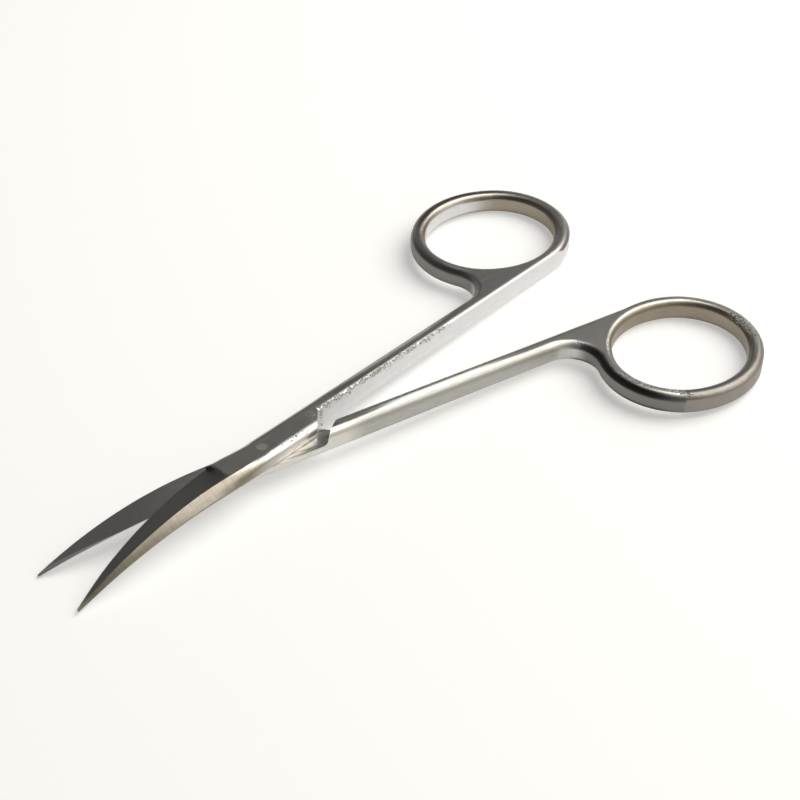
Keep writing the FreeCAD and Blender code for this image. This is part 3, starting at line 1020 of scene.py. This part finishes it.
        # The ring, shank and blade tints paint shade and light; the rub marks, streaks, honed line, lines,
        # pits and chips follow, the chips with a painted glint.
        tints = (
            *self.ring_tints(graph, at),
            *self.shank_tints(graph, at),
            *self.blade_tints(graph, at),
            (self.streaks(graph, at), finish.streak_tint),
            (bright, finish.honed),
            (graph.step(lines, finish.line_level, (0.0, finish.line_shade)), finish.pit),
            (pits, finish.pit),
            # Worn chips, painted near white as glints.
            (chips, finish.chip_glint),
        )
        colour = finish.clouded(graph, at.place)
        for share, tint in tints:
            colour = graph.blend(share, colour, tint)
        dents = graph.subtract(graph.multiply(chips, finish.chip_height), pits)
        graph.join(colour, graph.shader.inputs["Base Color"])
        graph.join(self.roughness(graph, at, lines, chips, bright), graph.shader.inputs["Roughness"])
        graph.join(self.relief(graph, at, lines, honed, dents), graph.shader.inputs["Normal"])
        graph.shader.inputs["Metallic"].default_value = 1.0
        return graph.material

    def dress(self) -> None:
        """Give the half its material."""
        put_on(self.node_name, self.material())


@dataclass
class PivotScrew:
    """The slotted screw that holds the two laps together.

    Args:
        pose: where the scissors lie.
        finish: the screw's turned steel.
    """

    pose: Pose
    finish: SteelFinish

    def material(self) -> bpy.types.Material:
        """Build turned steel with fine rings round the screw's axis.

        Returns:
            The material.
        """
        graph = Graph("screw_steel")
        finish = self.finish
        place = graph.own_place(self.pose.own_frame(Side.UPPER))
        x, y, _ = graph.split(place)
        rings = graph.noise(graph.vector(graph.length(x, y), 0.0, 0.0), finish.lines)
        graph.join(finish.clouded(graph, place), graph.shader.inputs["Base Color"])
        graph.join(finish.brushed_roughness(graph, rings), graph.shader.inputs["Roughness"])
        graph.join(graph.bump(rings, finish.relief), graph.shader.inputs["Normal"])
        graph.shader.inputs["Metallic"].default_value = 1.0
        return graph.material

    def dress(self) -> None:
        """Give the screw its material."""
        put_on("pivot_screw", self.material())


@dataclass(frozen=True)
class Panel:
    """A soft lamp panel of the studio.

    Args:
        name: what the panel is.
        place: its middle, in metres.
        size: its width and height, in metres.
        power: its power, in watts.
        colour: its colour.
        aim: the point it faces, in metres.
    """

    name: str
    place: Triple
    size: tuple[float, float]
    power: float
    colour: Colour
    aim: Triple = (0.0, 0.0, 0.0)

    def build(self) -> None:
        """Hang the panel."""
        light = bpy.data.lights.new(self.name, "AREA")
        light.shape = "RECTANGLE"
        light.size, light.size_y = self.size
        light.energy = self.power
        light.color = self.colour
        panel = bpy.data.objects.new(self.name, light)
        bpy.context.scene.collection.objects.link(panel)
        panel.location = self.place
        facing = Vector(self.aim) - Vector(self.place)
        panel.rotation_euler = facing.to_track_quat("-Z", "Y").to_euler()


@dataclass
class Studio:
    """The pale table, the soft light and the camera.

    Args:
        pose: where the scissors lie.
        table_size: the side of the table, in metres.
        table_colour: its colour.
        table_roughness: how dull its paint is.
        table_shine: how much light its paint mirrors.
        table_glow: how much light it gives back besides what it reflects.
        room: the room's colours from its dim side to its bright one, with their places from 0 to 1.
        bright_side: the way to the room's bright side.
        camera_from_pivot: the camera's place, from the pivot, in metres.
        camera_turn: its turn about X, Y and Z, in degrees.
        lens: its focal length, in millimetres.
        film_width: the width of its film, in millimetres.
        nearest: the nearest thing it sees, in metres.
        panels: the lamp panels.
    """

    pose: Pose
    table_size: float = 3.0
    table_colour: Colour = (0.86, 0.86, 0.85)
    table_roughness: float = 0.9
    table_shine: float = 0.1
    table_glow: float = 0.42
    room: tuple[tuple[float, Colour], ...] = (
        (0.0, (0.15, 0.15, 0.15)),
        (0.35, (0.12, 0.12, 0.12)),
        (0.5, (0.035, 0.035, 0.037)),
        (0.62, (0.035, 0.035, 0.037)),
        (0.72, (0.09, 0.09, 0.09)),
        (0.985, (0.75, 0.7, 0.6)),
    )
    bright_side: Triple = (0.57, -0.7, 0.45)
    camera_from_pivot: Triple = (-0.126538, -0.172179, 0.179744)
    camera_turn: Triple = (51.4439, 0.1245, -41.6183)
    lens: float = 89.1955
    film_width: float = 36.0
    nearest: float = 0.01
    panels: tuple[Panel, ...] = (
        Panel("key_softbox", (0.36, -0.11, 0.5), (0.62, 0.62), 3.3, (1.0, 0.985, 0.96)),
        Panel("far_window", (0.75, 0.85, 0.09), (1.4, 0.18), 0.6, (1.0, 0.97, 0.9)),
    )

    def lay_table(self) -> None:
        """Lay the plain pale table top."""
        half = self.table_size / 2
        mesh = bpy.data.meshes.new("table_top")
        corners = [(-half, -half, 0), (half, -half, 0), (half, half, 0), (-half, half, 0)]
        mesh.from_pydata(corners, [], [(0, 1, 2, 3)])
        table = bpy.data.objects.new("table_top", mesh)
        bpy.context.scene.collection.objects.link(table)
        graph = Graph("table_paint")
        graph.shader.inputs["Base Color"].default_value = (*self.table_colour, 1.0)
        graph.shader.inputs["Roughness"].default_value = self.table_roughness
        graph.shader.inputs["Specular IOR Level"].default_value = self.table_shine
        graph.shader.inputs["Emission Color"].default_value = (*self.table_colour, 1.0)
        graph.shader.inputs["Emission Strength"].default_value = self.table_glow
        mesh.materials.append(graph.material)

    def light_room(self) -> None:
        """Light the room, which is dim but for one bright side, and hang its panels."""
        world = bpy.data.worlds.new("studio_room")
        bpy.context.scene.world = world
        world.use_nodes = True
        tree = world.node_tree
        coordinates = tree.nodes.new("ShaderNodeTexCoord")
        towards = tree.nodes.new("ShaderNodeVectorMath")
        towards.operation = "DOT_PRODUCT"
        towards.inputs[1].default_value = Vector(self.bright_side).normalized()
        tree.links.new(coordinates.outputs["Generated"], towards.inputs[0])
        share = tree.nodes.new("ShaderNodeMapRange")
        share.inputs["From Min"].default_value = -1.0
        tree.links.new(towards.outputs["Value"], share.inputs["Value"])
        ramp = tree.nodes.new("ShaderNodeValToRGB")
        elements = ramp.color_ramp.elements
        for element, (position, colour) in zip(elements, (self.room[0], self.room[-1])):
            element.position = position
            element.color = (*colour, 1.0)
        for position, colour in self.room[1:-1]:
            elements.new(position).color = (*colour, 1.0)
        tree.links.new(share.outputs["Result"], ramp.inputs["Fac"])
        tree.links.new(ramp.outputs["Color"], tree.nodes["Background"].inputs["Color"])
        for panel in self.panels:
            panel.build()

    def place_camera(self) -> None:
        """Stand the camera where the photograph was taken."""
        camera = bpy.data.objects.new("camera", bpy.data.cameras.new("camera"))
        camera.data.lens = self.lens
        camera.data.sensor_width = self.film_width
        camera.data.clip_start = self.nearest
        bpy.context.scene.collection.objects.link(camera)
        camera.location = self.pose.pivot + Vector(self.camera_from_pivot)
        camera.rotation_euler = tuple(math.radians(angle) for angle in self.camera_turn)
        bpy.context.scene.camera = camera

    def build(self) -> None:
        """Set up the table, the light, the camera and plain colour handling."""
        self.lay_table()
        self.light_room()
        self.place_camera()
        bpy.context.scene.view_settings.view_transform = "Standard"
        LOG.info("studio ready")


SATIN = WornFinish(
    cool=(0.64, 0.64, 0.63),
    warm=(0.64, 0.62, 0.57),
    clouds=Pattern(Grain((0.22, 0.22, 0.22), 3.0), (0.38, 0.62)),
    lines=Grain((0.5, 9.0, 9.0), 6.0, 0.72),
    roughness=0.34,
    streak=0.05,
    relief=0.0000015,
    line_span=(0.35, 0.65),
    ring_lines=Grain((6.0, 6.0, 9.0), 6.0, 0.72),
    cross_lines=Grain((7.0, 0.5, 0.5), 3.0),
    rubs=Pattern(Grain((0.2, 2.6, 2.6), 4.0), (0.48, 0.6)),
    streaks=Pattern(Grain((2.8, 0.4, 0.4), 4.0, 0.65), (0.4, 0.66), 0.35),
    ragged=Grain((0.9, 0.9, 0.9), 2.0),
    chips=Pattern(Grain((5.5, 5.5, 5.5), 2.0, 0.6), (0.68, 0.76), 0.8),
    pits=Pattern(Grain((3.1, 3.1, 3.1), 4.0, 0.62), (0.6, 0.68), 0.85),
    line_level=(0.42, 0.7),
    line_shade=0.16,
    wear_lift=0.17,
    wear_onset=(0.02, 0.2),
    chip_height=0.5,
    pit_depth=0.00006,
    dullest=0.75,
    honed_dulling=0.3,
    side_dulling=0.12,
    # Painted shade on the rings' outer sides.
    ring_side_shade=(0.21, 0.205, 0.195),
    # Painted shade that dims the rear rounding's highlight.
    ring_band_shade=(0.28, 0.262, 0.24),
    # Painted shade: the darkest band on the ring's top rounding.
    ring_dark_shade=(0.075, 0.07, 0.063),
    # Painted shade on the hole walls.
    ring_hole_shade=(0.32, 0.28, 0.225),
    # Painted shade on the shanks' outer sides.
    outer_side_shade=(0.43, 0.425, 0.4),
    # Painted light on the shanks' inner faces.
    inner_face_light=(0.7, 0.7, 0.71),
    # Painted shade on the spine side.
    spine_side_shade=(0.28, 0.255, 0.215),
    streak_tint=(0.17, 0.145, 0.125),
    # Painted shade on the blade's ground back.
    facet_shade=(0.34, 0.33, 0.31),
    mating=(0.68, 0.67, 0.65),
    rubbed=(0.4, 0.35, 0.27),
    honed=(0.8, 0.8, 0.79),
    pit=(0.09, 0.08, 0.065),
    # Worn chips with a painted glint.
    chip_glint=(0.95, 0.94, 0.92),
)
TURNED = SteelFinish(
    cool=(0.64, 0.61, 0.54),
    warm=(0.54, 0.5, 0.43),
    clouds=Pattern(Grain((2.5, 2.5, 2.5), 4.0), (0.4, 0.62)),
    lines=Grain((9.0, 9.0, 9.0), 3.0),
    roughness=0.42,
    streak=0.05,
    relief=0.000006,
    line_span=(0.35, 0.65),
)
UPPER_WEAR = (
    WearPatch(centre=(10.3, 0.9), reach=(1.8, 2.2), turn=0.0, amount=0.42),
    WearPatch(centre=(5.0, 1.9), reach=(5.0, 0.5), turn=4.0, amount=0.3),
    WearPatch(centre=(12.3, 0.5), reach=(0.7, 1.6), turn=0.0, amount=0.7),
)
LOWER_WEAR = (
    WearPatch(centre=(23.2, -0.2), reach=(0.5, 0.4), turn=0.0, amount=0.9),
    WearPatch(centre=(27.6, -0.15), reach=(0.5, 0.35), turn=0.0, amount=0.9),
    WearPatch(centre=(53.3, -3.6), reach=(0.9, 0.6), turn=0.0, amount=0.7),
    WearPatch(centre=(54.6, -15.4), reach=(4.6, 0.7), turn=-72.0, amount=0.85),
    WearPatch(centre=(58.2, -21.2), reach=(3.4, 0.6), turn=-50.0, amount=0.75),
    WearPatch(centre=(78.2, -13.4), reach=(6.5, 1.4), turn=86.0, amount=0.7),
    WearPatch(centre=(7.9, -0.5), reach=(0.6, 0.4), turn=0.0, amount=0.9),
)
SOFT_BAND = 12.0


def main() -> None:
    """Dress the scissors and set up the studio."""
    logging.basicConfig(level=logging.INFO, format="%(message)s")
    pose = Pose.from_joint(frame["joints"][0])
    ScissorHalf(Side.LOWER, pose, SATIN, LOWER_WEAR).dress()
    # The upper ring has no painted dark band, and its band of painted shade begins without a step.
    ScissorHalf(Side.UPPER, pose, SATIN, UPPER_WEAR, dark_shade=0.0, band_soft=SOFT_BAND).dress()
    PivotScrew(pose, TURNED).dress()
    Studio(pose).build()


if __name__ == "__main__":
    main()
